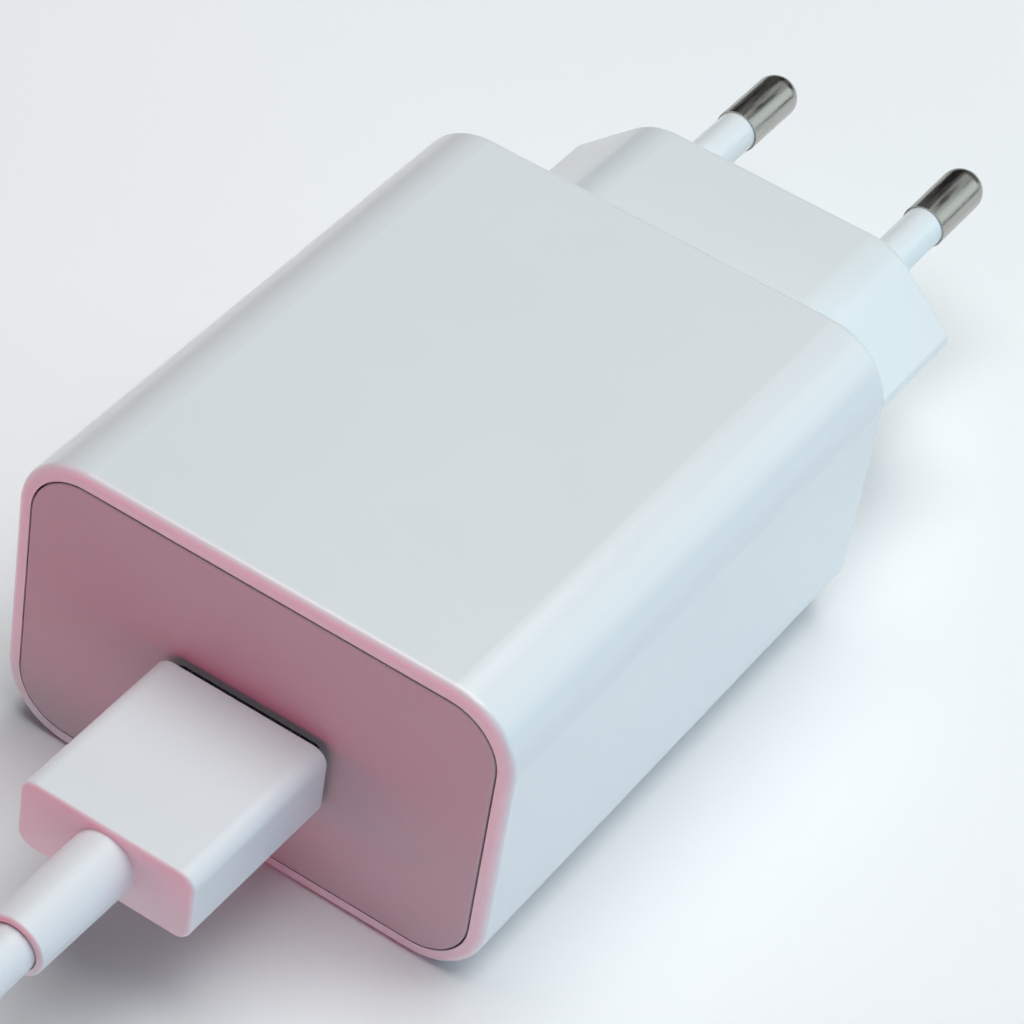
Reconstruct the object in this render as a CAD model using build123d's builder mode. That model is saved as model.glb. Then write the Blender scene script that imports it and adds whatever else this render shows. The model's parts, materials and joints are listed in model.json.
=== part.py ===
"""USB wall charger with a two-pin mains plug, and the USB cable that is plugged into it.

Millimetres. X runs across the charger, Y from its USB end (-Y) to the tips of its mains pins (+Y),
and Z up from its large bottom face. The origin is under the middle of the charger, at z = 0.
"""

from build123d import *
import math
import os

os.makedirs("parts", exist_ok=True)

# ---- driving dimensions: the charger's outside -----------------------------------------------
body_w, body_h, body_l = 44.4, 28.3, 53.4
corner_r = 6.0
edge_r = 0.7
wall = 1.9
nose_l = 20.2
nose_half_top, nose_half_ridge, nose_half_h = 11.9, 19.0, 6.53
nose_corner_r, ridge_r = 5.6, 0.8
nose_end_wall = 2.2

pin_l, pin_spacing = 19.5, 19.0
pin_r, pin_neck_r = 2.0, 1.4
sleeve_l, sleeve_r, sleeve_foot_r, sleeve_foot_l = 11.2, 1.84, 3.0, 4.2

front_y = -(body_l + nose_l + pin_l) / 2
rear_y = front_y + body_l
nose_y = rear_y + nose_l
tip_y = nose_y + pin_l
mid_z = body_h / 2
cavity_w, cavity_h, cavity_r = body_w - 2 * wall, body_h - 2 * wall, corner_r - wall

# ---- front panel and USB port ----------------------------------------------------------------
rim, seam = 1.27, 0.16
panel_w, panel_h = body_w - 2 * (rim + seam), body_h - 2 * (rim + seam)
panel_r = corner_r - rim - seam
panel_proud, panel_t = 0.12, 2.1
panel_front_y = front_y - panel_proud
panel_back_y = panel_front_y + panel_t
hook_x, hook_w, hook_l, hook_t = 11.0, 6.0, 7.0, 1.1
hook_gap, barb_h, barb_l = 0.2, 0.7, 1.6

port_z = 13.1
port_w, port_h, port_r = 13.2, 5.12, 0.8
socket_w, socket_h, socket_l, sheet = 13.1, 5.72, 14.0, 0.3
socket_front_y = panel_back_y + 0.15
socket_back_y = socket_front_y + socket_l
contact_x = (-3.5, -1.0, 1.0, 3.5)
contact_w, contact_t = 1.0, 0.2
tongue_low, tongue_high, tongue_w = 0.32, 1.8, 11.0

# ---- circuit board and what stands on it -----------------------------------------------------
board_t = 1.6
board_top = port_z - socket_h / 2
board_bottom = board_top - board_t
board_w = 2 * 20.0
board_front_y, board_back_y = panel_back_y + 0.2, rear_y - wall - 0.5
lead_r, lead_out = 0.35, 1.0
stub_r = lead_r - 0.06
rail_w, rail_h = 1.5, 1.8
post_r, spreader_z, spreader_t, film_t = 1.8, 4.8, 0.8, 0.3

# ---- the USB cable: plug, lead, coil and far connector ---------------------------------------
plug_w, plug_h, plug_l, plug_r = 15.5, 6.7, 16.4, 1.4
plug_gap = 0.85
plug_face_y = front_y - plug_gap
plug_end_y = plug_face_y - plug_l
shell_w, shell_h, shell_l, shell_rooted = 12.0, 4.5, 11.75, 7.0
relief_r, relief_end_r, relief_l, relief_recess = 2.75, 2.65, 10.4, 0.6
cable_r = 2.0

coil_x, coil_y = -12.0, -131.0
coil_inner, coil_outer = 14.4, 27.6
coil_entry = math.radians(20)
tie_t, tie_w = 0.5, 5.0
coil_z, coil_h = tie_t, 8.0
layer_z = (coil_z + cable_r, coil_z + 3 * cable_r)

connector_w, connector_h, connector_l, connector_r = 12.4, 6.5, 19.0, 2.2
connector_relief_l = 9.0
tip_w, tip_h, tip_l, tip_r = 8.34, 2.56, 6.65, 1.2


def save(piece, name):
    """Label a finished piece and write it to parts/."""
    piece.part.label = name
    export_step(piece.part, f"parts/{name}.step")


def across(y):
    """Plane square to Y at y: sketch x is +X, sketch y is +Z, and extrude(amount=-l) runs to +Y."""
    return Plane(origin=(0, y, 0), x_dir=(1, 0, 0), z_dir=(0, -1, 0))


def rounded_bar(y0, y1, z, w, h, r, mode=Mode.ADD):
    """Rounded rectangle centred at height z, from y0 to y1, in the current part."""
    with BuildSketch(across(y0)) as profile:
        with Locations((0, z)):
            RectangleRounded(w, h, r)
    extrude(profile.sketch, amount=y0 - y1, mode=mode)


def block(x, y, z, w, d, h, mode=Mode.ADD):
    """Box centred at x, y, standing on height z."""
    with Locations((x, y, z)):
        Box(w, d, h, align=(Align.CENTER, Align.CENTER, Align.MIN), mode=mode)


def rod_y(x, z, y0, y1, r, mode=Mode.ADD):
    """Round rod along Y."""
    with BuildSketch(across(y0)) as profile:
        with Locations((x, z)):
            Circle(r)
    extrude(profile.sketch, amount=y0 - y1, mode=mode)


lead_places = []


def leads(points, top):
    """Round wire legs from height top down through the board; their places are kept."""
    for x, y in points:
        with Locations((x, y, board_bottom - lead_out)):
            Cylinder(lead_r, top - board_bottom + lead_out, align=(Align.CENTER, Align.CENTER, Align.MIN))
    lead_places.extend(points)


def nose_sketch(y, inset):
    """Flat-topped outline with pointed sides at depth y, moved in by inset all round."""
    slope = math.hypot(nose_half_h, nose_half_ridge - nose_half_top)
    run = nose_half_ridge - nose_half_top
    h = nose_half_h - inset
    ridge = nose_half_ridge - inset * slope / nose_half_h
    top = ridge - h * run / nose_half_h
    with BuildSketch(across(y)) as outline:
        with Locations((0, mid_z)):
            Polygon((ridge, 0), (top, h), (-top, h), (-ridge, 0), (-top, -h), (top, -h))
        ends = outline.vertices().sort_by(Axis.X)
        fillet([ends[0], ends[-1]], max(ridge_r - inset, 0.3))
        corners = outline.vertices().filter_by(lambda v: abs(abs(v.X) - top) < 0.01)
        fillet(corners, nose_corner_r - inset)
    return outline.sketch


# ---- housing: sleeve-shaped body, closed at the rear, with the plug nose moulded on ------------
with BuildPart() as housing:
    rounded_bar(front_y, rear_y, mid_z, body_w, body_h, corner_r)
    end_faces = housing.faces().filter_by(Axis.Y)
    fillet(end_faces.edges(), edge_r)
    extrude(nose_sketch(rear_y - wall, 0), amount=-(nose_l + wall))
    fillet(housing.faces().sort_by(Axis.Y)[-1].edges(), edge_r)
    rounded_bar(front_y, panel_back_y, mid_z, body_w - 2 * rim, body_h - 2 * rim, corner_r - rim, Mode.SUBTRACT)
    rounded_bar(panel_back_y, rear_y - wall, mid_z, cavity_w, cavity_h, cavity_r, Mode.SUBTRACT)
    extrude(nose_sketch(rear_y - wall, wall), amount=-(wall + nose_l - nose_end_wall), mode=Mode.SUBTRACT)
    for x in (-pin_spacing / 2, pin_spacing / 2):
        rod_y(x, mid_z, nose_y - nose_end_wall, nose_y, sleeve_foot_r, Mode.SUBTRACT)
    for side in (-1, 1):
        block(side * (cavity_w - rail_w) / 2, (board_front_y + board_back_y) / 2, board_bottom - rail_h,
              rail_w, board_back_y - board_front_y - 4, rail_h)
        for y in (front_y + 12, rear_y - 12):
            block(side * 14.0, y, wall, 2 * post_r, 2 * post_r, spreader_z - wall)
    for z in (wall - barb_h - hook_gap, body_h - wall):
        for x in (-hook_x, hook_x):
            block(x, panel_back_y + hook_l - barb_l, z, hook_w + 0.4, 2 * barb_l, barb_h + hook_gap, Mode.SUBTRACT)
save(housing, "housing")

# ---- front panel: the greyer face, just proud of the rim, with the USB opening, on four snap hooks ---
with BuildPart() as front_panel:
    rounded_bar(panel_front_y, panel_back_y, mid_z, panel_w, panel_h, panel_r)
    fillet(front_panel.faces().sort_by(Axis.Y)[0].edges(), 0.2)
    rounded_bar(panel_front_y, panel_back_y, port_z, port_w, port_h, port_r, Mode.SUBTRACT)
    for side in (-1, 1):
        for x in (-hook_x, hook_x):
            outer = mid_z + side * (cavity_h / 2 - hook_gap)
            with BuildSketch(Plane.YZ.offset(x - hook_w / 2)):
                Polygon(
                    (panel_back_y, outer), (panel_back_y + hook_l - barb_l, outer),
                    (panel_back_y + hook_l - barb_l, outer + side * barb_h),
                    (panel_back_y + hook_l, outer), (panel_back_y + hook_l, outer - side * hook_t),
                    (panel_back_y, outer - side * hook_t), align=None)
            extrude(amount=hook_w)
save(front_panel, "front_panel")

# ---- mains pins, their sleeves, carrier and contact strips --------------------------------------
carrier_l, carrier_gap = 4.0, 0.1
carrier_front_y = nose_y - nose_end_wall - carrier_l
pin_inner_y = carrier_front_y - 3.0
strip_t, strip_w, strip_end_y = 0.4, 4.0, rear_y - wall - 2.1
strip_z = mid_z - 2.6
contact_strips, sleeves, pins = [], [], []

for side, x in (("left", -pin_spacing / 2), ("right", pin_spacing / 2)):
    axis = Axis((x, 0, mid_z), (0, 1, 0))
    with BuildPart() as pin:
        with BuildSketch(Plane.XY.offset(mid_z)) as profile:
            Polygon(
                (x, pin_inner_y), (x + pin_neck_r, pin_inner_y), (x + pin_neck_r, nose_y + sleeve_l),
                (x + pin_r, nose_y + sleeve_l), (x + pin_r, tip_y), (x, tip_y), align=None)
            tip = profile.vertices().sort_by(Axis.Y)[-2:].sort_by(Axis.X)[-1]
            fillet(tip, pin_r - 0.25)
        revolve(axis=axis)
    save(pin, f"{side}_pin")
    pins.append(pin.part)

    with BuildPart() as pin_sleeve:
        with BuildSketch(Plane.XY.offset(mid_z)):
            with BuildLine():
                Polyline(
                    (x + sleeve_foot_r, nose_y), (x + sleeve_foot_r, nose_y - nose_end_wall),
                    (x + pin_neck_r, nose_y - nose_end_wall), (x + pin_neck_r, nose_y + sleeve_l),
                    (x + sleeve_r, nose_y + sleeve_l), (x + sleeve_r, nose_y + sleeve_foot_l))
                Spline(
                    (x + sleeve_r, nose_y + sleeve_foot_l), (x + sleeve_foot_r, nose_y),
                    tangents=((0, -1), (1, -0.35)))
            make_face()
        revolve(axis=axis)
    save(pin_sleeve, f"{side}_pin_sleeve")
    sleeves.append(pin_sleeve.part)

    with BuildPart() as contact_strip:
        block(x, carrier_front_y - strip_t / 2, strip_z - strip_t, strip_w, strip_t, mid_z + 2.6 - strip_z + strip_t)
        block(x, (carrier_front_y + strip_end_y) / 2, strip_z - strip_t, strip_w, carrier_front_y - strip_end_y, strip_t)
        block(x, strip_end_y + strip_t / 2, board_top, strip_w, strip_t, strip_z - board_top)
        block(x, strip_end_y + strip_t / 2, board_bottom - lead_out, 1.2, strip_t, board_t + lead_out)
        rod_y(x, mid_z, pin_inner_y, carrier_front_y, pin_neck_r, Mode.SUBTRACT)
    save(contact_strip, f"{side}_contact_strip")
    contact_strips.append(contact_strip.part)

with BuildPart() as pin_carrier:
    extrude(nose_sketch(carrier_front_y, wall + carrier_gap), amount=-carrier_l)
    for x in (-pin_spacing / 2, pin_spacing / 2):
        rod_y(x, mid_z, carrier_front_y, nose_y - nose_end_wall, pin_neck_r, Mode.SUBTRACT)
save(pin_carrier, "pin_carrier")

# ---- USB-A socket: steel shell, contacts and the insulator that holds them ------------------------
through_board = list(contact_strips)

with BuildPart() as usb_socket_shell:
    rounded_bar(socket_front_y, socket_back_y, port_z, socket_w, socket_h, 0.6)
    rounded_bar(socket_front_y, socket_back_y, port_z, socket_w - 2 * sheet, socket_h - 2 * sheet, 0.3, Mode.SUBTRACT)
    for side in (-1, 1):
        for y in (socket_front_y + 4, socket_back_y - 3):
            block(side * (socket_w + sheet) / 2, y, board_bottom - lead_out, sheet, 1.6, port_z - board_bottom + lead_out)
save(usb_socket_shell, "usb_socket_shell")

with BuildPart() as usb_socket_contacts:
    for x in contact_x:
        back_y = socket_back_y + 0.4
        block(x, (socket_front_y + 1.4 + back_y) / 2, port_z + tongue_low - contact_t,
              contact_w, back_y - socket_front_y - 1.4, contact_t)
        block(x, back_y - 0.15, board_bottom - lead_out, 0.6, 0.3, port_z + tongue_low - board_bottom + lead_out)
save(usb_socket_contacts, "usb_socket_contacts")

with BuildPart() as usb_socket_tongue:
    rounded_bar(socket_back_y - 3.4, socket_back_y, port_z, socket_w - 2 * sheet, socket_h - 2 * sheet, 0.3)
    block(0, (socket_front_y + 1.0 + socket_back_y - 3.4) / 2, port_z + tongue_low,
          tongue_w, socket_l - 4.4, tongue_high - tongue_low)
    add(usb_socket_contacts.part, mode=Mode.SUBTRACT)
save(usb_socket_tongue, "usb_socket_tongue")
through_board += [usb_socket_shell.part, usb_socket_contacts.part]

# ---- transformer: two ferrite halves, a bobbin, two windings and a wrap of tape --------------------
tr_x, tr_y = -5.2, front_y + 26.6
core_w, core_d, core_h, core_back, core_post, core_leg = 16.0, 4.9, 14.3, 1.95, 4.0, 2.0
core_z = board_top + 1.2
window_low, window_high = core_z + core_back, core_z + core_h - core_back
core_split = core_z + core_h / 2
flange_t, flange_w, flange_d = 1.0, 11.6, 16.4


def around_post(w, d, hole_w, hole_d, z0, z1, r=0.6, hole_r=0.4):
    """Rectangular tube round the transformer's centre post."""
    with BuildSketch(Plane.XY.offset(z0)) as profile:
        with Locations((tr_x, tr_y)):
            RectangleRounded(w, d, r)
            RectangleRounded(hole_w, hole_d, hole_r, mode=Mode.SUBTRACT)
    extrude(profile.sketch, amount=z1 - z0)


for name, back_z, legs_z in (("lower", core_z, window_low), ("upper", window_high, core_split)):
    legs_h = core_split - window_low
    with BuildPart() as core:
        block(tr_x, tr_y, back_z, core_w, core_d, core_back)
        block(tr_x, tr_y, legs_z, core_post, core_d, legs_h)
        for side in (-1, 1):
            block(tr_x + side * (core_w - core_leg) / 2, tr_y, legs_z, core_leg, core_d, legs_h)
    save(core, f"transformer_core_{name}")

tube_w, tube_d = core_post + 1.8, core_d + 1.8
with BuildPart() as transformer_bobbin:
    post_hole = (core_post + 0.1, core_d + 0.1)
    around_post(tube_w, tube_d, *post_hole, window_low, window_high, hole_r=0.1)
    for z in (window_low, window_high - flange_t):
        around_post(flange_w, flange_d, *post_hole, z, z + flange_t, hole_r=0.1)
    for side in (-1, 1):
        rail_y = tr_y + side * 6.9
        block(tr_x, rail_y, board_top, 15.0, 2.6, window_low - board_top)
        leads([(tr_x + step, rail_y) for step in (-5.7, -1.9, 1.9, 5.7)], board_top)
save(transformer_bobbin, "transformer_bobbin")
through_board.append(transformer_bobbin.part)

windings = (("primary_winding", 8.2, 10.4), ("secondary_winding", 10.4, 13.4), ("transformer_tape", 10.8, 13.8))
hole = (tube_w, tube_d)
for name, w, d in windings:
    with BuildPart() as winding:
        around_post(w, d, *hole, window_low + flange_t, window_high - flange_t, r=1.0)
    save(winding, name)
    hole = (w, d)

# ---- capacitors, choke, fuse, thermistor ------------------------------------------------------------
for name, x, y, r, h in (("output_capacitor_large", 13.4, front_y + 9.4, 4.0, 11.5),
                         ("output_capacitor_small", -13.4, front_y + 8.6, 3.15, 9.0)):
    with BuildPart() as capacitor:
        with Locations((x, y, board_top + 0.4)):
            Cylinder(r, h, align=(Align.CENTER, Align.CENTER, Align.MIN))
        fillet(capacitor.edges().filter_by(GeomType.CIRCLE), 0.5)
        leads([(x - r / 2, y), (x + r / 2, y)], board_top + 0.5)
    save(capacitor, name)
    through_board.append(capacitor.part)

bulk_r, bulk_gap = 5.0, 0.3
bulk_z = board_top + bulk_gap + bulk_r
with BuildPart() as input_capacitor_side:
    x, y0, y1 = 13.6, front_y + 19.0, front_y + 36.0
    rod_y(x, bulk_z, y0, y1, bulk_r)
    fillet(input_capacitor_side.edges().filter_by(GeomType.CIRCLE), 0.8)
    for step in (-2.5, 2.5):
        rod_y(x + step, bulk_z, y1, y1 + 1.2, stub_r)
    leads([(x - 2.5, y1 + 1.2), (x + 2.5, y1 + 1.2)], bulk_z + lead_r)
save(input_capacitor_side, "input_capacitor_side")

with BuildPart() as input_capacitor_rear:
    y, x0, x1 = front_y + 43.6, -18.4, -2.4
    with BuildSketch(Plane.YZ.offset(x0)):
        with Locations((y, bulk_z)):
            Circle(bulk_r)
    extrude(amount=x1 - x0)
    fillet(input_capacitor_rear.edges().filter_by(GeomType.CIRCLE), 0.8)
    for step in (-2.5, 2.5):
        with BuildSketch(Plane.YZ.offset(x1)):
            with Locations((y + step, bulk_z)):
                Circle(stub_r)
        extrude(amount=1.2)
    leads([(x1 + 1.2, y - 2.5), (x1 + 1.2, y + 2.5)], bulk_z + lead_r)
save(input_capacitor_rear, "input_capacitor_rear")
through_board += [input_capacitor_side.part, input_capacitor_rear.part]

for name, x, y, r, t in (("y_capacitor", 6.0, front_y + 26.0, 4.2, 3.0),
                         ("thermistor", 12.9, front_y + 43.4, 3.1, 2.2)):
    with BuildPart() as disc:
        with BuildSketch(Plane.YZ.offset(x - t / 2)):
            with Locations((y, board_top + 1.0 + r)):
                Circle(r)
        extrude(amount=t)
        fillet(disc.edges().filter_by(GeomType.CIRCLE), t / 3)
        leads([(x, y - r / 2), (x, y + r / 2)], board_top + 1.0 + r)
    save(disc, name)
    through_board.append(disc.part)

choke_x, choke_y, choke_r, choke_h = 6.6, front_y + 43.6, 3.2, 8.0
with BuildPart() as choke_core:
    for z, r, h in ((0, choke_r, 1.4), (1.4, 1.5, choke_h - 2.8), (choke_h - 1.4, choke_r, 1.4)):
        with Locations((choke_x, choke_y, board_top + 0.3 + z)):
            Cylinder(r, h, align=(Align.CENTER, Align.CENTER, Align.MIN))
    leads([(choke_x, choke_y - 2.0), (choke_x, choke_y + 2.0)], board_top + 0.4)
save(choke_core, "choke_core")
through_board.append(choke_core.part)

with BuildPart() as choke_winding:
    with BuildSketch(Plane.XY.offset(board_top + 0.3 + 1.4)):
        with Locations((choke_x, choke_y)):
            Circle(choke_r - 0.3)
            Circle(1.5, mode=Mode.SUBTRACT)
    extrude(amount=choke_h - 2.8)
save(choke_winding, "choke_winding")

with BuildPart() as fuse:
    x, y0, y1, r = 17.0, front_y + 39.6, front_y + 48.6, 1.7
    z = board_top + 0.3 + r
    rod_y(x, z, y0, y1, r)
    fillet(fuse.edges().filter_by(GeomType.CIRCLE), 0.4)
    rod_y(x, z, y0 - 1.0, y1 + 1.0, stub_r)
    leads([(x, y0 - 1.0), (x, y1 + 1.0)], z + lead_r)
save(fuse, "fuse")
through_board.append(fuse.part)

# ---- chips soldered to the underside of the board ---------------------------------------------------
chips = (
    ("bridge_rectifier", 2.0, front_y + 43.4, 5.0, 4.2, 2.4, 2),
    ("switching_controller", -12.0, front_y + 37.0, 4.9, 3.9, 1.6, 4),
    ("optocoupler", 10.0, front_y + 27.0, 4.6, 6.4, 2.2, 2),
    ("synchronous_rectifier", -11.5, front_y + 14.6, 4.9, 3.9, 1.6, 4),
    ("protocol_chip", 1.0, front_y + 11.5, 3.0, 1.7, 1.1, 3),
)
for name, x, y, w, d, h, legs in chips:
    with BuildPart() as chip:
        block(x, y, board_bottom - h, w, d, h - 0.1)
        fillet(chip.edges().filter_by(Axis.Z), 0.15)
        for i in range(legs):
            leg_x = x + (i - (legs - 1) / 2) * w / legs
            block(leg_x, y, board_bottom - h / 2, 0.4, d + 1.0, 0.2)
            for side in (-1, 1):
                block(leg_x, y + side * (d / 2 + 0.5), board_bottom - h / 2, 0.4, 0.2, h / 2)
    save(chip, name)

with BuildPart() as chip_resistors:
    for x, y in ((5.4, front_y + 12.0), (-4.6, front_y + 13.2), (-17.0, front_y + 30.0), (-15.6, front_y + 44.0),
                 (-8.6, front_y + 44.6), (13.8, front_y + 34.6)):
        block(x, y, board_bottom - 0.45, 2.0, 1.25, 0.45)
save(chip_resistors, "chip_resistors")

with BuildPart() as chip_capacitors:
    for x, y in ((5.4, front_y + 7.4), (-4.6, front_y + 8.2), (-17.0, front_y + 25.0), (16.6, front_y + 26.0)):
        block(x, y, board_bottom - 0.8, 1.6, 0.8, 0.8)
save(chip_capacitors, "chip_capacitors")

# ---- the board, drilled for every leg, and the solder under it --------------------------------------
with BuildPart() as main_board:
    block(0, (board_front_y + board_back_y) / 2, board_bottom, board_w, board_back_y - board_front_y, board_t)
    for part in through_board:
        add(part, mode=Mode.SUBTRACT)
save(main_board, "main_board")

with BuildPart() as solder_joints:
    for x, y in lead_places:
        with Locations((x, y, board_bottom - 0.7)):
            Cone(lead_r + 0.1, lead_r + 0.55, 0.7, align=(Align.CENTER, Align.CENTER, Align.MIN))
            Cylinder(lead_r, 0.7, align=(Align.CENTER, Align.CENTER, Align.MIN), mode=Mode.SUBTRACT)
save(solder_joints, "solder_joints")

# ---- heat spreader, its pad and the insulating film ----------------------------------------------------
pad_x, pad_y, pad_size = -11.5, front_y + 14.6, 5.6
spreader_y0, spreader_y1 = front_y + 8.0, rear_y - 7.0
with BuildPart() as heat_spreader:
    block(0, (spreader_y0 + spreader_y1) / 2, spreader_z, 32.0, spreader_y1 - spreader_y0, spreader_t)
    fillet(heat_spreader.edges().filter_by(Axis.Z), 2.0)
save(heat_spreader, "heat_spreader")

with BuildPart() as insulating_film:
    block(0, (spreader_y0 + spreader_y1) / 2, spreader_z + spreader_t, 35.0, spreader_y1 - spreader_y0 + 3, film_t)
    block(pad_x, pad_y, spreader_z + spreader_t, pad_size, pad_size, film_t, Mode.SUBTRACT)
save(insulating_film, "insulating_film")

with BuildPart() as thermal_pad:
    block(pad_x, pad_y, spreader_z + spreader_t, pad_size, pad_size, board_bottom - 1.6 - spreader_z - spreader_t)
save(thermal_pad, "thermal_pad")

# ---- USB-A plug of the cable -----------------------------------------------------------------------
shell_tip_y = plug_face_y + shell_l
shell_back_y = plug_face_y - shell_rooted
with BuildPart() as usb_plug_shell:
    rounded_bar(shell_back_y, shell_tip_y, port_z, shell_w, shell_h, 0.4)
    rounded_bar(shell_back_y, shell_tip_y, port_z, shell_w - 2 * sheet, shell_h - 2 * sheet, 0.2, Mode.SUBTRACT)
    for x in (-2.85, 2.85):
        block(x, shell_tip_y - 6.2, port_z - shell_h, 2.5, 2.0, 2 * shell_h, Mode.SUBTRACT)
save(usb_plug_shell, "usb_plug_shell")

with BuildPart() as usb_plug_contacts:
    for x in contact_x:
        block(x, (plug_face_y + shell_tip_y - 1.2) / 2, port_z - 0.15, contact_w, shell_l - 1.2, 0.15)
save(usb_plug_contacts, "usb_plug_contacts")

with BuildPart() as usb_plug_insulator:
    inner_w, inner_h = shell_w - 2 * sheet, shell_h - 2 * sheet
    rounded_bar(shell_back_y, plug_face_y, port_z, inner_w, inner_h, 0.2)
    block(0, (plug_face_y + shell_tip_y - 0.4) / 2, port_z - inner_h / 2, inner_w - 0.4, shell_l - 0.4, inner_h / 2)
    add(usb_plug_contacts.part, mode=Mode.SUBTRACT)
save(usb_plug_insulator, "usb_plug_insulator")

with BuildPart() as usb_plug_overmould:
    rounded_bar(plug_end_y, plug_face_y, port_z, plug_w, plug_h, plug_r)
    fillet(usb_plug_overmould.faces().filter_by(Axis.Y).edges(), 0.35)
    rounded_bar(shell_back_y, plug_face_y, port_z, shell_w, shell_h, 0.4, Mode.SUBTRACT)
save(usb_plug_overmould, "usb_plug_overmould")

relief_end_y = plug_end_y - relief_l
with BuildPart() as cable_strain_relief:
    with BuildSketch(Plane.XY.offset(port_z)) as profile:
        Polygon(
            (0, plug_end_y), (relief_r, plug_end_y), (relief_end_r, relief_end_y), (cable_r + 0.1, relief_end_y),
            (cable_r + 0.1, relief_end_y + relief_recess), (0, relief_end_y + relief_recess), align=None)
        rim_corner = profile.vertices().filter_by(lambda v: abs(v.X - relief_end_r) < 0.01)
        fillet(rim_corner, 0.25)
    revolve(axis=Axis((0, 0, port_z), (0, 1, 0)))
save(cable_strain_relief, "cable_strain_relief")

# ---- the cable: lead to the coil, coil, and tail to the far connector --------------------------------
coil_start = (coil_x + coil_outer * math.cos(coil_entry), coil_y + coil_outer * math.sin(coil_entry), layer_z[0])
tail_start = (coil_x - coil_outer, coil_y, layer_z[1])
connector_x, connector_z = tail_start[0] + 1.7, connector_h / 2
connector_back_y = coil_y + 31.0
lead_route = [
    (0, relief_end_y + relief_recess, port_z),
    (0, -84.5, port_z),
    (3.2, -97.0, 8.6),
    (9.5, -109.5, 3.2),
    coil_start,
]
tail_route = [
    tail_start,
    (tail_start[0] + 0.2, coil_y + 10.5, 6.3),
    (connector_x, coil_y + 22.0, connector_z),
    (connector_x, connector_back_y, connector_z),
]


def cable_run(route):
    """Cable along straight runs, each corner an arc as large as its two runs allow."""
    points = [Vector(*p) for p in route]
    runs = [b - a for a, b in zip(points, points[1:])]
    radii = []
    for a, b in zip(runs, runs[1:]):
        turn = math.radians(a.get_angle(b))
        radii.append(0.45 * min(a.length, b.length) / math.tan(turn / 2))
    print("bend radii", [round(r, 1) for r in radii])
    with BuildPart() as tube:
        with BuildLine() as path:
            FilletPolyline(*points, radius=radii)
        with BuildSketch(Plane(origin=path.line @ 0, z_dir=path.line % 0)):
            Circle(cable_r)
        sweep()
    length = sum(edge.length for edge in path.line.edges())
    print(f"length {length:.1f}, volume over section times length",
          round(tube.part.volume / (math.pi * cable_r**2 * length), 4))
    return tube


cable_lead = cable_run(lead_route)
save(cable_lead, "cable_lead")

with BuildPart() as cable_coil:
    with BuildSketch(Plane.XZ):
        with Locations(((coil_inner + coil_outer) / 2, coil_z + coil_h / 2)):
            RectangleRounded(coil_outer - coil_inner + 2 * cable_r, coil_h, cable_r)
    revolve(axis=Axis.Z)
cable_coil.part.position = (coil_x, coil_y, 0)
save(cable_coil, "cable_coil")

cable_tail = cable_run(tail_route)
save(cable_tail, "cable_tail")

with BuildPart() as cable_tie:
    tie_low, tie_high = coil_inner - cable_r - 0.3, coil_outer + cable_r + 0.05
    with BuildSketch(Plane.YZ.offset(coil_x)):
        with Locations((coil_y + (tie_low + tie_high) / 2, coil_z + coil_h / 2)):
            RectangleRounded(tie_high - tie_low + 2 * tie_t, coil_h + 2 * tie_t, 2.4)
            RectangleRounded(tie_high - tie_low, coil_h, 1.9, mode=Mode.SUBTRACT)
    extrude(amount=tie_w / 2, both=True)
save(cable_tie, "cable_tie")

# ---- the far connector: flat oval plug on the end of the cable ----------------------------------------
grip_y = connector_back_y + connector_relief_l
connector_face_y = grip_y + connector_l


def oval_bar(y0, y1, w, h, r, mode=Mode.ADD):
    """Rounded bar on the connector's own axis."""
    with BuildSketch(across(y0)) as profile:
        with Locations((connector_x, connector_z)):
            RectangleRounded(w, h, r)
    extrude(profile.sketch, amount=y0 - y1, mode=mode)


with BuildPart() as connector_strain_relief:
    with BuildSketch(Plane.XY.offset(connector_z)):
        with Locations((connector_x, connector_back_y)):
            Polygon((0, 0), (cable_r + 0.35, 0), (relief_r, connector_relief_l), (0, connector_relief_l), align=None)
    revolve(axis=Axis((connector_x, 0, connector_z), (0, 1, 0)))
save(connector_strain_relief, "connector_strain_relief")

with BuildPart() as connector_shell:
    oval_bar(connector_face_y - 5.0, connector_face_y + tip_l, tip_w, tip_h, tip_r)
    oval_bar(connector_face_y - 5.0, connector_face_y + tip_l, tip_w - 2 * sheet, tip_h - 2 * sheet, tip_r - sheet,
             Mode.SUBTRACT)
save(connector_shell, "connector_shell")

with BuildPart() as connector_insert:
    oval_bar(connector_face_y - 5.0, connector_face_y + tip_l - 0.3, tip_w - 2 * sheet, tip_h - 2 * sheet, tip_r - sheet)
    oval_bar(connector_face_y + 0.5, connector_face_y + tip_l - 0.3, 6.8, 0.8, 0.3, Mode.SUBTRACT)
save(connector_insert, "connector_insert")

with BuildPart() as connector_overmould:
    oval_bar(grip_y, connector_face_y, connector_w, connector_h, connector_r)
    fillet(connector_overmould.faces().filter_by(Axis.Y).edges(), 0.5)
    oval_bar(connector_face_y - 5.0, connector_face_y, tip_w, tip_h, tip_r, Mode.SUBTRACT)
save(connector_overmould, "connector_overmould")
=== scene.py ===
"""Looks for the USB wall charger: materials, the cable's own line, light and camera.

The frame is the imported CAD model's. Named sizes and places of the cable are in millimetres, as in
part.py, and are turned into metres by MM. The studio's are in metres.
"""

import json
import math

import bpy
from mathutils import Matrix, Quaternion, Vector


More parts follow.
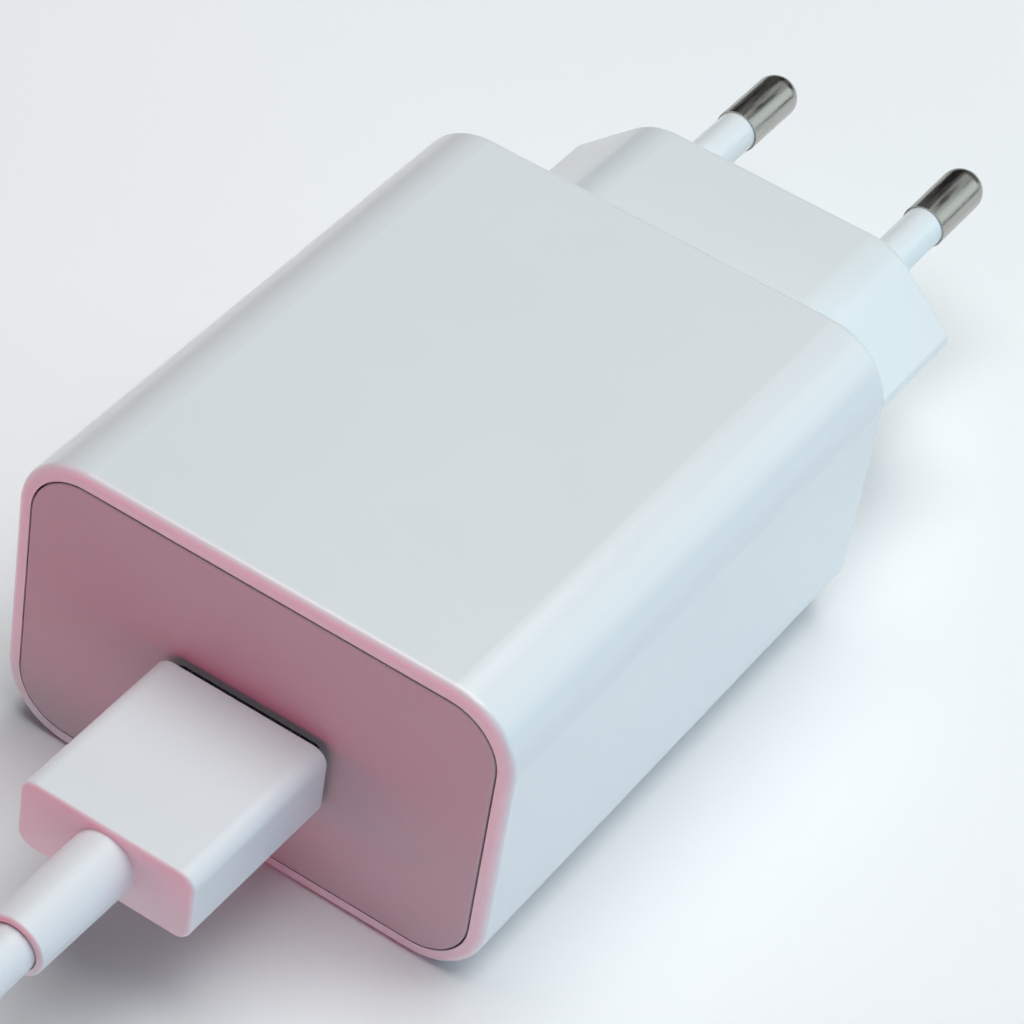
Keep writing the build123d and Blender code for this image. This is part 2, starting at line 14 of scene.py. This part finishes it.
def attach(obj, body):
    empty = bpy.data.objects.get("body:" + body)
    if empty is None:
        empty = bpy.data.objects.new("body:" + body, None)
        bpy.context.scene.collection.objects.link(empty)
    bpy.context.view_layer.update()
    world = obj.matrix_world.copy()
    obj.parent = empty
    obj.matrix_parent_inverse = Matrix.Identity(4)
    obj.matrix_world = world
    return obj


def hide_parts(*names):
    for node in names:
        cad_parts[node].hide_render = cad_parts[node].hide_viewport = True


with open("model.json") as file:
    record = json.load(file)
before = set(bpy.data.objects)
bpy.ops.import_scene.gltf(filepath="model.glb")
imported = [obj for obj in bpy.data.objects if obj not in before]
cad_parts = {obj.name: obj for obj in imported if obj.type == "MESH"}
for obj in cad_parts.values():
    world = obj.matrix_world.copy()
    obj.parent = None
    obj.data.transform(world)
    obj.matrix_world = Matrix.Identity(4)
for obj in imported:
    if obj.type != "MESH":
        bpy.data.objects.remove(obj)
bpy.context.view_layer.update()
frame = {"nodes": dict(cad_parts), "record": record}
nodes = frame["nodes"]
MM = 0.001

# ---- camera: the photograph's viewpoint, angles in degrees ----------------------------------------
CAMERA_AZIMUTH, CAMERA_ELEVATION, CAMERA_ROLL = 26.90, 42.82, 10.06
CAMERA_DISTANCE, CAMERA_LENS = 330.0 * MM, 152.45
CAMERA_AIM = Vector((5.4, -20.85, 20.1)) * MM
CLIP_NEAR, CLIP_FAR = 0.01, 20.0
SENSOR_WIDTH = 36.0


def make_camera():
    azimuth, elevation = math.radians(CAMERA_AZIMUTH), math.radians(CAMERA_ELEVATION)
    back = Vector((math.sin(azimuth) * math.cos(elevation),
                   -math.cos(azimuth) * math.cos(elevation), math.sin(elevation)))
    data = bpy.data.cameras.new("camera")
    data.lens = CAMERA_LENS
    data.sensor_width = SENSOR_WIDTH
    data.clip_start, data.clip_end = CLIP_NEAR, CLIP_FAR
    camera = bpy.data.objects.new("camera", data)
    camera.location = CAMERA_AIM + back * CAMERA_DISTANCE
    turn = (-back).to_track_quat("-Z", "Y") @ Quaternion((0, 0, 1), math.radians(CAMERA_ROLL))
    camera.rotation_euler = turn.to_euler()
    bpy.context.scene.collection.objects.link(camera)
    bpy.context.scene.camera = camera


# ---- cable: lead, coil and tail as one line ------------------------------------------------------
CABLE_R = 2.0
EXIT = (0, -73.6, 13.1)
COIL_X, COIL_Y = -12.0, -131.0
COIL_INNER, COIL_OUTER = 14.4, 27.6
LOW_LAYER, HIGH_LAYER = 2.5, 6.5
COIL_ENTRY, COIL_TURNS = 20 / 360, 6 + 200 / 360
CLIMB_TURNS = 0.3
POINTS_PER_TURN = 18
CONNECTOR_X, CONNECTOR_Z = -37.9, 3.25

LEAD = [
    EXIT,
    (0, -84.5, 13.1),
    (3.2, -97.0, 8.6),
    (9.5, -109.5, 3.2),
]
TAIL = [
    (-39.4, -120.5, 6.3),
    (CONNECTOR_X, -109.0, CONNECTOR_Z),
    (CONNECTOR_X, -100.0, CONNECTOR_Z),
]


def coil_points():
    """Turns wound inwards along the floor, then outwards on top of them, clockwise from the entry."""
    points = []
    count = round(COIL_TURNS * POINTS_PER_TURN)
    swell = 1 / math.cos(math.pi / POINTS_PER_TURN)  # the spline runs inside its control points
    for i in range(count + 1):
        turn = COIL_TURNS * i / count
        past_middle = turn - COIL_TURNS / 2
        share = abs(past_middle) / (COIL_TURNS / 2)
        radius = (COIL_INNER + (COIL_OUTER - COIL_INNER) * share) * swell
        rise = min(max(past_middle / CLIMB_TURNS + 0.5, 0), 1)
        rise = rise * rise * (3 - 2 * rise)
        angle = 2 * math.pi * (COIL_ENTRY - turn)
        points.append((COIL_X + radius * math.cos(angle), COIL_Y + radius * math.sin(angle),
                       LOW_LAYER + (HIGH_LAYER - LOW_LAYER) * rise))
    return points


def make_cable(material):
    """The cable as one curve. Its radius is on the points, so the bevel's own depth is 1."""
    route = LEAD + coil_points() + TAIL
    curve = bpy.data.curves.new("cable", "CURVE")
    curve.dimensions = "3D"
    spline = curve.splines.new("NURBS")
    spline.points.add(len(route) - 1)
    for point, place in zip(spline.points, route):
        point.co = (*(Vector(place) * MM), 1.0)
        point.radius = CABLE_R * MM
    spline.order_u = 3
    spline.use_endpoint_u = True
    spline.resolution_u = 6
    curve.bevel_depth = 1.0
    curve.bevel_resolution = 5
    curve.use_fill_caps = True
    cable = bpy.data.objects.new("cable", curve)
    bpy.context.scene.collection.objects.link(cable)
    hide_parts("cable_lead", "cable_coil", "cable_tail")
    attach(cable, "cable_plug")
    curve.materials.append(material)


# ---- materials: noise scales are per metre, depths of grain in millimetres -------------------------
BROAD_SCALE, HANDLED_SCALE = 60.0, 160.0
GLOSSIER, DULLER = 0.03, 0.05
COAT_ROUGHNESS = 0.25
METAL_SHADE, METAL_GLOSSIER, METAL_DULLER = 0.86, 0.75, 1.3
METAL_DEPTH = 0.01
WOUND_SHADE, WOUND_DEPTH = 0.6, 0.1
WAVE_RADIANS = 20  # the wave texture's phase over one unit at scale 1


def new_material(name):
    material = bpy.data.materials.new(name)
    material.use_nodes = True
    tree = material.node_tree
    return material, tree, tree.nodes["Principled BSDF"]


def noise(tree, scale, detail=3.0, rough=0.5):
    coords = tree.nodes.new("ShaderNodeTexCoord")
    made = tree.nodes.new("ShaderNodeTexNoise")
    made.inputs["Scale"].default_value = scale
    made.inputs["Detail"].default_value = detail
    made.inputs["Roughness"].default_value = rough
    tree.links.new(coords.outputs["Object"], made.inputs["Vector"])
    return made


def ramp(tree, source, low, high, start=0.35, stop=0.65):
    """Colours or greys from low to high as source goes from start to stop."""
    made = tree.nodes.new("ShaderNodeValToRGB")
    made.color_ramp.interpolation = "EASE"
    made.color_ramp.elements[0].position = start
    made.color_ramp.elements[1].position = stop
    made.color_ramp.elements[0].color = (*low, 1)
    made.color_ramp.elements[1].color = (*high, 1)
    tree.links.new(source, made.inputs["Fac"])
    return made.outputs["Color"]


def grey(value):
    return (value, value, value)


def bump(tree, shader, height, strength, distance):
    made = tree.nodes.new("ShaderNodeBump")
    made.inputs["Strength"].default_value = strength
    made.inputs["Distance"].default_value = distance
    tree.links.new(height, made.inputs["Height"])
    tree.links.new(made.outputs["Normal"], shader.inputs["Normal"])


def moulded(name, colour, rough=0.35, grain=4000.0, depth=0.02, strength=0.15, shade=0.03, coat=0.0):
    """Moulded plastic: slight mottling of colour and gloss, and a fine even grain."""
    material, tree, shader = new_material(name)
    broad = noise(tree, BROAD_SCALE, 4.0)
    low = tuple(c * (1 - shade) for c in colour)
    tree.links.new(ramp(tree, broad.outputs["Fac"], low, colour, 0.2, 0.8), shader.inputs["Base Color"])
    handled = noise(tree, HANDLED_SCALE, 5.0, 0.6)
    gloss = ramp(tree, handled.outputs["Fac"], grey(rough - GLOSSIER), grey(rough + DULLER), 0.2, 0.8)
    tree.links.new(gloss, shader.inputs["Roughness"])
    fine = noise(tree, grain, 2.0)
    bump(tree, shader, fine.outputs["Fac"], strength, depth * MM)
    shader.inputs["IOR"].default_value = 1.5
    shader.inputs["Coat Weight"].default_value = coat
    shader.inputs["Coat Roughness"].default_value = COAT_ROUGHNESS
    return material


def metal(name, colour, rough=0.2, grain=2500.0, strength=0.1, stretch=None):
    """Bare metal with fine drawn lines along one axis, or an even grain."""
    material, tree, shader = new_material(name)
    shader.inputs["Metallic"].default_value = 1.0
    fine = noise(tree, grain, 3.0)
    if stretch:
        coords = fine.inputs["Vector"].links[0].from_socket
        mapping = tree.nodes.new("ShaderNodeMapping")
        mapping.inputs["Scale"].default_value = stretch
        tree.links.new(coords, mapping.inputs["Vector"])
        tree.links.new(mapping.outputs["Vector"], fine.inputs["Vector"])
    low = tuple(c * METAL_SHADE for c in colour)
    tree.links.new(ramp(tree, fine.outputs["Fac"], low, colour, 0.3, 0.7), shader.inputs["Base Color"])
    glossy, dull = grey(rough * METAL_GLOSSIER), grey(rough * METAL_DULLER)
    tree.links.new(ramp(tree, fine.outputs["Fac"], glossy, dull, 0.3, 0.7), shader.inputs["Roughness"])
    bump(tree, shader, fine.outputs["Fac"], strength, METAL_DEPTH * MM)
    return material


def wound(name, colour, half_pitch, axis, rough=0.3):
    """Enamelled wire or wrapped tape: even ridges along one axis, twice half_pitch apart."""
    material, tree, shader = new_material(name)
    coords = tree.nodes.new("ShaderNodeTexCoord")
    wave = tree.nodes.new("ShaderNodeTexWave")
    wave.bands_direction = axis
    wave.inputs["Scale"].default_value = 1 / (half_pitch * MM) / WAVE_RADIANS * math.pi
    wave.inputs["Distortion"].default_value = 0.4
    tree.links.new(coords.outputs["Object"], wave.inputs["Vector"])
    low = tuple(c * WOUND_SHADE for c in colour)
    tree.links.new(ramp(tree, wave.outputs["Fac"], low, colour, 0.1, 0.7), shader.inputs["Base Color"])
    shader.inputs["Roughness"].default_value = rough
    bump(tree, shader, wave.outputs["Fac"], 0.6, WOUND_DEPTH * MM)
    return material


def outside_materials():
    return {
        "housing_white": moulded("housing_white", (0.775, 0.8, 0.812), rough=0.36, grain=2600.0,
                                 depth=0.004, strength=0.05, shade=0.015, coat=0.9),
        "panel_grey": moulded("panel_grey", (0.49, 0.5, 0.51), rough=0.5, grain=3600.0, strength=0.3),
        "pin_nickel": metal("pin_nickel", (0.5, 0.48, 0.455), rough=0.28, grain=2400.0, strength=0.04,
                            stretch=(1.0, 0.08, 1.0)),
        "sleeve_white": moulded("sleeve_white", (0.8, 0.82, 0.835), rough=0.28, grain=3000.0,
                                shade=0.02, coat=0.2),
    }


def inside_materials():
    return {
        "carrier_plastic": moulded("carrier_plastic", (0.7, 0.7, 0.68), rough=0.5),
        "strip_brass": metal("strip_brass", (0.78, 0.58, 0.27), rough=0.25, grain=1800.0, strength=0.15,
                             stretch=(1.0, 0.1, 1.0)),
        "socket_steel": metal("socket_steel", (0.66, 0.66, 0.68), rough=0.22, grain=5200.0,
                              strength=0.03, stretch=(1.0, 0.12, 1.0)),
        "socket_plastic": moulded("socket_plastic", (0.012, 0.012, 0.013), rough=0.4),
        "contact_gold": metal("contact_gold", (0.95, 0.66, 0.26), rough=0.18, grain=1500.0,
                              strength=0.08),
        "board_green": moulded("board_green", (0.02, 0.12, 0.05), rough=0.3, grain=900.0, depth=0.03,
                               strength=0.4, shade=0.25),
        "solder": metal("solder", (0.72, 0.72, 0.73), rough=0.22, grain=1400.0, strength=0.3),
        "ferrite": moulded("ferrite", (0.035, 0.035, 0.038), rough=0.45, grain=2200.0, depth=0.03,
                           strength=0.4, shade=0.2),
        "bobbin_plastic": moulded("bobbin_plastic", (0.015, 0.015, 0.016), rough=0.4),
        "copper_wire": wound("copper_wire", (0.62, 0.22, 0.07), 0.3, "Z"),
        "tape_yellow": wound("tape_yellow", (0.8, 0.55, 0.04), 4.0, "Z", rough=0.2),
        "can_sleeve": moulded("can_sleeve", (0.015, 0.02, 0.045), rough=0.25, grain=1200.0, depth=0.03,
                              strength=0.2, shade=0.2, coat=0.3),
        "disc_blue": moulded("disc_blue", (0.03, 0.13, 0.38), rough=0.25, grain=900.0, depth=0.05,
                             strength=0.3, shade=0.15),
        "disc_green": moulded("disc_green", (0.04, 0.1, 0.045), rough=0.35, grain=900.0, depth=0.05,
                              strength=0.3, shade=0.15),
        "fuse_body": moulded("fuse_body", (0.2, 0.09, 0.05), rough=0.3, grain=900.0, depth=0.05,
                             strength=0.3, shade=0.15),
        "chip_black": moulded("chip_black", (0.012, 0.012, 0.013), rough=0.5, grain=2600.0, depth=0.03,
                              strength=0.4, shade=0.1),
        "chip_ceramic": moulded("chip_ceramic", (0.24, 0.17, 0.11), rough=0.45),
        "spreader_aluminium": metal("spreader_aluminium", (0.78, 0.79, 0.8), rough=0.3, grain=1500.0,
                                    strength=0.15, stretch=(0.06, 1.0, 1.0)),
        "film": moulded("film", (0.72, 0.62, 0.3), rough=0.2, coat=0.3),
        "thermal_pad": moulded("thermal_pad", (0.25, 0.3, 0.4), rough=0.6, grain=1500.0, depth=0.05,
                               strength=0.4, shade=0.1),
    }


def cable_materials():
    return {
        "plug_white": moulded("plug_white", (0.765, 0.79, 0.802), rough=0.38, grain=4200.0, depth=0.012,
                              strength=0.25, shade=0.02),
        "cable_white": moulded("cable_white", (0.78, 0.8, 0.81), rough=0.42, grain=3600.0, depth=0.015,
                               strength=0.25),
        "tie_grey": moulded("tie_grey", (0.3, 0.31, 0.33), rough=0.8, grain=2200.0, depth=0.12,
                            strength=0.9, shade=0.35),
    }


def dress_nodes(materials):
    """Give every carried-over CAD node the material of its slot."""
    for part in frame["record"]["subparts"]:
        mesh = nodes[part["node"]].data
        mesh.materials.clear()
        mesh.materials.append(materials[part["material_slot"]])


# ---- studio: metres and watts ------------------------------------------------------------------------
FLOOR_SIZE = 6.0
WORLD_STRENGTH = 0.02
STUDIO_MIDDLE = (0, 0, 0.014)


def area_light(name, place, size, watts, colour):
    """A rectangular lamp that faces the middle of the charger."""
    data = bpy.data.lights.new(name, "AREA")
    data.shape = "RECTANGLE"
    data.size, data.size_y = size
    data.energy = watts
    data.color = colour
    light = bpy.data.objects.new(name, data)
    light.location = place
    light.rotation_euler = (Vector(STUDIO_MIDDLE) - Vector(place)).to_track_quat("-Z", "Y").to_euler()
    bpy.context.scene.collection.objects.link(light)


def make_studio():
    bpy.ops.mesh.primitive_plane_add(size=FLOOR_SIZE, location=(0, 0, 0))
    floor = bpy.context.object
    floor.name = "floor"
    material, tree, shader = new_material("floor_paper")
    mottle = noise(tree, 6.0)
    tree.links.new(ramp(tree, mottle.outputs["Fac"], grey(0.915), grey(0.925)), shader.inputs["Base Color"])
    shader.inputs["Roughness"].default_value = 0.9
    floor.data.materials.append(material)
    world = bpy.data.worlds.new("studio")
    world.use_nodes = True
    background = world.node_tree.nodes["Background"]
    background.inputs["Color"].default_value = (1.0, 1.0, 1.0, 1)
    background.inputs["Strength"].default_value = WORLD_STRENGTH
    bpy.context.scene.world = world
    area_light("key", (0.05, 0.1, 0.75), (0.7, 0.7), 5.9, (0.94, 0.985, 1.0))
    area_light("right_strip", (0.46, 0.44, 0.37), (0.5, 0.6), 1.2, (0.84, 0.95, 0.93))
    area_light("pink_front", (-0.04, -0.62, 0.05), (0.85, 0.1), 1.5, (1.0, 0.01, 0.2))
    area_light("blue_right", (0.64, 0.05, 0.09), (0.6, 0.18), 0.75, (0.0, 0.62, 1.0))
    bpy.context.scene.view_settings.view_transform = "Standard"


make_camera()
materials = {**outside_materials(), **inside_materials(), **cable_materials()}
dress_nodes(materials)
make_cable(materials["cable_white"])
make_studio()
